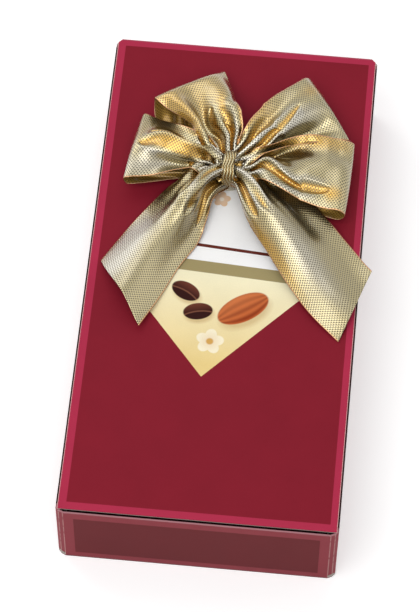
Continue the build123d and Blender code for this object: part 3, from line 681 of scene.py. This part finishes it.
folded_ribbon(
    "ribbon_tail_left", "bow_tail_left",
    ((-3.6, 40.6, 6.4, -146, 22, 0, 0.18, 0.0), (-9.2, 35.3, 9.0, -138, 8, -4, 0.38, 0.1),
     (-14.3, 26.8, 9.2, -128, -10, -6, 0.58, 0.3), (-19.9, 16.8, 6.4, -121, -19, -4, 0.75, 0.4),
     (-26.8, 6.4, 3.4, -119, -15, 0, 0.80, 0.6), (-32.6, -5.0, 1.5, -116, -5, 2, 0.86, 0.6),
     (-39.4, -19.0, 1.3, -114, 1, 7, 0.87, 0.5)),
    pleats=((-4.0, -4.5, 1.7, 2.6, 1.4, 0.30), (3.5, 3.0, 1.7, 2.8, 1.3, 0.36), (10.0, 11.8, 1.3, 1.7, 1.2, 0.36)),
    waves=((1.5, 7.0, -0.8, 1.6), (10.5, 4.5, 0.6, 1.0), (5.0, 2.2, 0.16, 1.6)),
    painted_shade_and_highlight=((-12, 4, 0.3, 0.22, 0.5), (13, 5, 0.2, 0.15, 0.6), (-8, 8, 0.8, 0.35, -0.9)), seed=11, cut=0.55)
folded_ribbon(
    "ribbon_tail_right", "bow_tail_right",
    ((1.6, 40.2, 6.4, -34, 26, 4, 0.18, 0.0), (6.8, 36.0, 10.0, -40, 9, 10, 0.48, 0.1),
     (13.4, 27.9, 11.0, -44, -10, 12, 0.72, 0.35), (24.0, 16.8, 7.8, -46, -22, 6, 0.84, 0.45),
     (33.6, 6.2, 4.2, -47, -15, 0, 0.93, 0.35), (42.4, -3.8, 2.5, -47, -10, 0, 0.96, 0.2),
     (53.3, -12.7, 0.7, -47, -9, 0, 1.0, 0.1)),
    pleats=((-9.5, -9.5, 1.7, 2.6, 1.4, 0.29), (-3.8, -4.0, 1.4, 1.9, 1.4, 0.32)),
    waves=((-5.0, 7.5, -0.8, 1.6), (8.0, 5.0, 0.5, 1.6), (0.5, 2.2, 0.16, 1.6)),
    painted_shade_and_highlight=((-13, 4, 0.45, 0.3, 0.6), (-4, 6, 0.65, 0.3, -0.6)), seed=13, cut=-0.5)

KNOT = BOW + [0, 0, 5.4]


def gathered_knot():
    """The ribbon's gathered middle, a fluted waist between the loops.

    At x from the middle and the angle a around, the radii are 5.0 across and 3.4 up, drawn in to 0.75 at the waist,
    with pleats |sin| round it, 0.14 deep, and the ends are rounded off.
    """
    half, depth = 5.0, 0.14
    x = np.linspace(-half, half, 41)[:, None]
    a = np.linspace(0, 2 * np.pi, 240, endpoint=False)[None]
    pinch = (0.75 + 0.25 * (np.abs(x) / half)**1.3) * np.sqrt(np.clip(1 - (np.abs(x) / half)**8, 0, 1))
    ridge = np.abs(np.sin(9.5 * a + 0.8 * np.sin(3 * a))) * (0.7 + 0.3 * np.cos(5 * a + x))
    radius = pinch * (1 + depth * ridge)
    rings = np.stack([x + 0 * a, 5.0 * radius * np.cos(a), 3.4 * radius * np.sin(a)], -1)
    uv = np.stack([x + 0 * a, 4.0 * a + 0 * x], -1)
    # the fold value, half the flute ridge, paints amber shade into the flutes between the pleats
    made = skin("gathered_knot", rings + KNOT, grid_faces(41, 240, wrap_columns=True), gold_cloth, uv, 0.5 * ridge)
    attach(made, "lid")
    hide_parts("bow_knot")


def tie_band():
    """A narrow strip gathered lengthwise and drawn round the knot from front to back.

    The line round is |cos|^0.8 by |sin|^0.8, 5.7 by 5.4; across, at x up to 2.5 on each side, four rounded ridges
    stand 0.55 high and wander a little along it.
    """
    turn = np.linspace(0, 2 * np.pi, 220, endpoint=False)
    ring = np.stack([0 * turn, np.sign(np.cos(turn)) * 5.7 * np.abs(np.cos(turn))**0.8,
                     np.sign(np.sin(turn)) * 5.4 * np.abs(np.sin(turn))**0.8], -1)
    out = ring / np.linalg.norm(ring, axis=1)[:, None]
    v = np.linspace(-1, 1, 61)
    wander = 0.16 * np.sin(3 * turn) + 0.1 * np.sin(7 * turn + 1)
    ridge = np.abs(np.cos(np.pi * 2 * (v[None] + wander[:, None])))**0.8
    height = 0.55 * ridge + 0.7 * np.sqrt(1 - 0.96 * v**2)[None] - 0.6
    waist = 1 - 0.22 * np.sin(turn)[:, None]**2
    points = ring[:, None] + out[:, None] * height[..., None] + [0, 0.3, 0.9]
    points[..., 0] = 2.5 * v[None] * waist + 0.35 * np.sin(2 * turn + 0.6)[:, None]
    uv = np.stack([4.6 * turn[:, None] + 0 * v, 5.5 * v[None] + 0 * turn[:, None]], -1)
    # the fold value, half the ridge, paints amber shade between the ridges
    made = skin("gathered_tie", points + KNOT, grid_faces(220, 61, wrap_rows=True), gold_cloth, uv, 0.5 * ridge)
    thick = made.modifiers.new("cloth", "SOLIDIFY")
    thick.thickness, thick.offset = 0.3 * MM, 0.0
    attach(made, "lid")
    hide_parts("bow_tie")


gathered_knot()
tie_band()


# ---------------------------------------------------------------- cushion pad

def quilted_pad():
    """The wadded paper pad: two skins on a grid that meet in a welded rim.

    Half its thickness at x, y is 1.5 mm times the root of (1 - |x share|^14) (1 - |y share|^28), less up to 0.8 mm in
    the grooves of a diamond quilting, e^-(distance to the nearest line / 0.9)^2, whose lines stand 15 mm apart.
    """
    half_width, half_length, level, between = 45.8, 93.0, 24.0, 15.0
    x = np.linspace(-half_width, half_width, 181)[None]
    y = np.linspace(-half_length, half_length, 361)[:, None]
    rim = np.sqrt(np.clip(1 - np.abs(x / half_width)**14, 0, 1) * np.clip(1 - np.abs(y / half_length)**28, 0, 1))
    groove = 0
    for line in ((x + y) / np.sqrt(2), (x - y) / np.sqrt(2)):
        apart = np.abs((line / between + 0.5) % 1 - 0.5) * between
        groove = np.maximum(groove, np.exp(-(apart / 0.9)**2))
    half = rim * (1.5 - 0.8 * groove)
    top = np.stack([x + 0 * y, y + 0 * x, level + half], -1)
    bottom = np.stack([x + 0 * y, y + 0 * x, level - half], -1)
    # the lower skin shares the upper one's points on the rim
    faces, open_part = grid_faces(361, 181), rim > 0
    lower = np.where(open_part, rim.size - 1 + np.cumsum(open_part).reshape(rim.shape),
                     np.arange(rim.size).reshape(rim.shape)).ravel()
    points = np.concatenate([top.reshape(-1, 3), bottom[open_part]])
    made = skin("quilted_pad", points, np.concatenate([faces, lower[faces[:, ::-1]]]), pad_skin)
    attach(made, "carton")
    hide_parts("cushion_pad")


quilted_pad()


# ---------------------------------------------------------------- stage and light

def sees_backdrop(tree):
    """1 for the rays that show the background: from the camera, and mirrored by or let through to the object."""
    rays = put(tree, "LightPath").node.outputs
    seen = put(tree, "Math", [rays["Is Camera Ray"], rays["Is Glossy Ray"]], operation="MAXIMUM")
    return put(tree, "Math", [seen, rays["Is Transmission Ray"]], operation="MAXIMUM")


def paper_sweep(tree):
    """Matt white paper, which keeps the object's shadow. The rays that show the background see it glow as well.

    The glow grows from 0.4 at 0.3 m from the object's middle to 0.9 at 1.5 m.
    """
    paper = put(tree, "BsdfPrincipled", {"Base Color": paint("EAEAEA"), "Roughness": 0.9, "Specular IOR Level": 0.1})
    far = put(tree, "VectorMath", [put(tree, "TexCoord", out=3)], out=1, operation="LENGTH")
    glow = put(tree, "Emission", [paint("FFFFFF"), put(tree, "MapRange", [far, 0.3, 1.5, 0.4, 0.9])])
    return put(tree, "MixShader", [sees_backdrop(tree), paper, put(tree, "AddShader", [paper, glow])])


def softbox(name, place, size, power):
    """A rectangular area lamp, in metres and watts, that faces the middle of the object."""
    data = bpy.data.lights.new(name, "AREA")
    data.shape = "RECTANGLE"
    data.size, data.size_y = size
    data.energy = power
    lamp = bpy.data.objects.new(name, data)
    bpy.context.scene.collection.objects.link(lamp)
    lamp.location = place
    lamp.rotation_euler = (-Vector(place)).to_track_quat("-Z", "Y").to_euler()


bpy.ops.mesh.primitive_plane_add(size=6, location=(0, 0, 0))
floor = bpy.context.active_object
floor.name = "floor"
floor.data.materials.append(finish_of("white paper sweep", paper_sweep))

softbox("front softbox", (-0.14, -0.44, 0.9), (1.05, 0.8), 6.0)
softbox("back softbox", (-0.16, 0.54, 0.9), (0.9, 0.72), 2.4)
softbox("left softbox", (-0.78, 0.62, 0.42), (0.5, 0.8), 2.0)
softbox("right softbox", (0.9, 0.12, 0.62), (0.7, 0.6), 0.8)

# the background is white, and what lights the object is a studio's dim grey
world = bpy.data.worlds.new("studio")
bpy.context.scene.world = world
world.use_nodes = True
sky = world.node_tree
sky.nodes.clear()
put(sky, "OutputWorld", [put(sky, "Background", [paint("FFFFFF"),
                                                 put(sky, "MapRange", {0: sees_backdrop(sky), 3: 0.28, 4: 1.0})])])

bpy.context.scene.view_settings.view_transform = "Standard"
